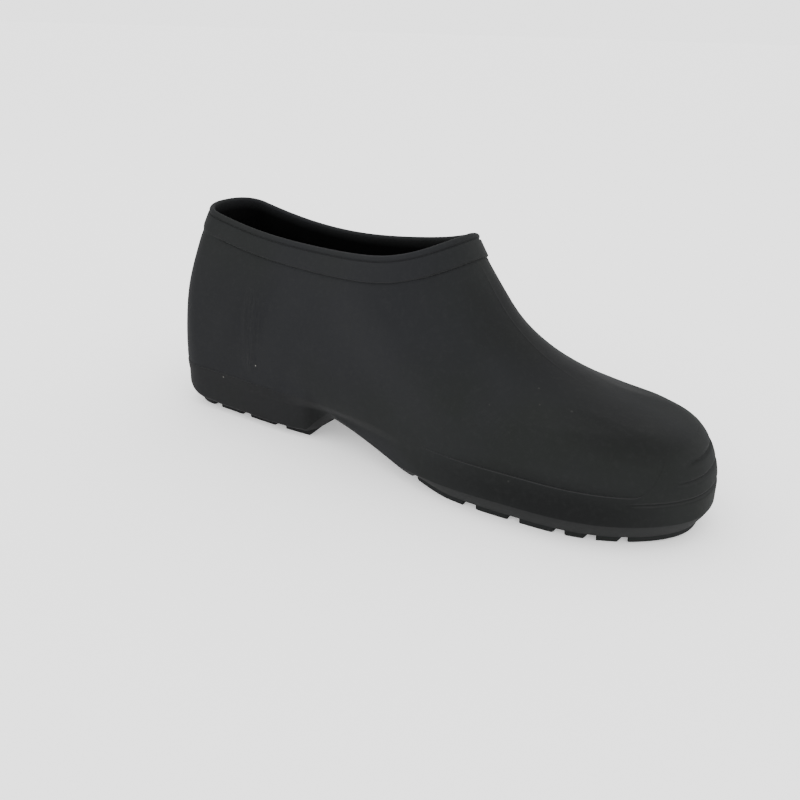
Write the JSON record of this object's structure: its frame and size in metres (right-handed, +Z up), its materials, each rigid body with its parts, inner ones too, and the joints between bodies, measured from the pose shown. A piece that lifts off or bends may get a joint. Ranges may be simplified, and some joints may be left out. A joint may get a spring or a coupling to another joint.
{
  "type": "rubber overshoe",
  "caption": "Low slip-on rubber overshoe with a rolled collar, a ribbed bumper round the toe, a block heel, an arch and a lugged sole.",
  "frame": {"origin": "on the floor, under the middle of the overshoe's length and width", "axes": "+X from the heel to the toe, +Y to the inner side of the right foot, +Z up"},
  "size_m": [0.321, 0.1038, 0.1236],
  "materials": {
    "upper": "matt",
    "outsole": "matt",
    "insole": "matt"
  },
  "bodies": {
    "root": {"upper": "upper", "outsole": "outsole", "insole": "insole"}
  },
  "joints": []
}
